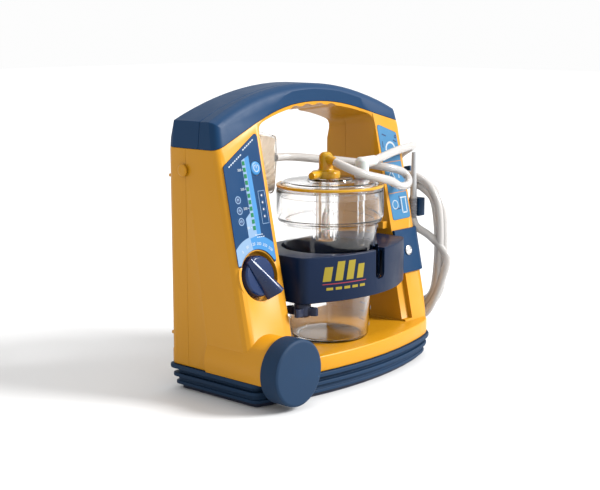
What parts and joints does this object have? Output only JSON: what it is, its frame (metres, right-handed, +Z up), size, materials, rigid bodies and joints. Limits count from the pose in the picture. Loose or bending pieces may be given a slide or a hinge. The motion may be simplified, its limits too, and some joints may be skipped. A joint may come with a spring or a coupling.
{
  "type": "portable suction pump",
  "caption": "Portable medical suction pump: a yellow case with a carrying handle, a regulator knob, and a clear canister in a ring with its lid, filter and tubes.",
  "frame": {"origin": "the middle of the underside's rectangle, on the plane it stands on", "axes": "+X to the right as the user faces the controls, -Y to the front, +Z up"},
  "size_m": [0.3378, 0.1605, 0.315],
  "materials": {
    "yellow_housing": "fine satin",
    "blue_cover": "satin",
    "blue_rubber": "matt",
    "navy_plastic": "satin",
    "panel_print": "printed film",
    "guide_print": "printed film",
    "clear_plastic": "clear polycarbonate",
    "clear_tube": "clear soft tube",
    "white_plastic": "satin",
    "yellow_fitting": "satin",
    "grey_rubber": "matt",
    "filter_paper": "pleated",
    "steel": "satin",
    "black_plastic": "matt",
    "circuit": "lacquered",
    "battery_wrap": "shrink film",
    "brass": "machined"
  },
  "bodies": {
    "case": {"front_housing": "yellow_housing", "rear_housing": "yellow_housing", "handle_cover_front": "blue_cover", "handle_cover_rear": "blue_cover", "base_bumper": "blue_rubber", "base_plate": "black_plastic", "pump_nose_cap": "blue_rubber", "control_panel": "panel_print", "instruction_panel": "guide_print", "regulator_valve": "brass", "strap_stud_left": "yellow_housing", "strap_stud_right": "yellow_housing", "canister_holder": "navy_plastic", "holder_bracket": "blue_cover", "bracket_screw": "steel", "filter_case_front": "clear_plastic", "filter_case_rear": "clear_plastic", "filter_media": "filter_paper", "vacuum_port": "white_plastic", "vacuum_tube": "clear_tube", "patient_tube": "clear_tube", "patient_tube_coil": "clear_tube", "patient_tube_end": "clear_tube", "tube_holder": "blue_cover", "tube_clip": "blue_cover", "connector_sleeve": "grey_rubber", "patient_connector": "clear_plastic", "pump_motor": "steel", "pump_head": "black_plastic", "battery_pack": "battery_wrap", "circuit_board": "circuit", "vacuum_hose": "grey_rubber", "power_inlet": "black_plastic", "housing_screw_1": "steel", "housing_screw_2": "steel", "housing_screw_3": "steel", "housing_screw_4": "steel", "housing_screw_5": "steel", "housing_screw_6": "steel"},
    "regulator": {"regulator_knob": "panel_print"},
    "test_button_body": {"test_button": "guide_print"},
    "clamp_knob": {"holder_clamp_knob": "black_plastic"},
    "canister_unit": {"canister": "clear_plastic", "canister_lid": "clear_plastic", "lid_ring": "yellow_fitting", "float_cage": "clear_plastic", "vacuum_elbow": "yellow_fitting", "patient_elbow": "white_plastic"},
    "float": {"float_ball": "white_plastic"},
    "rotor": {"pump_rotor": "steel"},
    "battery_door_body": {"battery_door": "yellow_housing"}
  },
  "joints": [
    {"name": "regulator_turn", "type": "hinge", "parent": "case", "child": "regulator", "pos_m": [-0.1184, -0.02237, 0.1284], "axis": [0, -0.9779, 0.2089], "range_deg": [-127, 53]},
    {"name": "test_button_press", "type": "slide", "parent": "case", "child": "test_button_body", "axis": [0, 0.9779, -0.2089], "range_m": [0, 0.0008], "stiffness_N_per_m": 2000},
    {"name": "holder_clamp_turn", "type": "hinge", "parent": "case", "child": "clamp_knob", "pos_m": [-0.0685, -0.035, 0.085], "axis": [0, 0, 1], "range_deg": [-180, 180]},
    {"name": "canister_lift", "type": "slide", "parent": "case", "child": "canister_unit", "axis": [0, 0, 1], "range_m": [0, 0.02], "deforming": ["vacuum_tube", "patient_tube"]},
    {"name": "float_rise", "type": "slide", "parent": "canister_unit", "child": "float", "axis": [0, 0, 1], "range_m": [0, 0.034]},
    {"name": "pump_rotor_spin", "type": "hinge", "parent": "case", "child": "rotor", "pos_m": [-0.12, -0.02, 0.036], "axis": [0, 1, 0], "continuous": true},
    {"name": "battery_door_turn", "type": "hinge", "parent": "case", "child": "battery_door_body", "pos_m": [0.1265, 0.0767, 0.0642], "axis": [-1, 0, 0], "range_deg": [0, 100]}
  ]
}
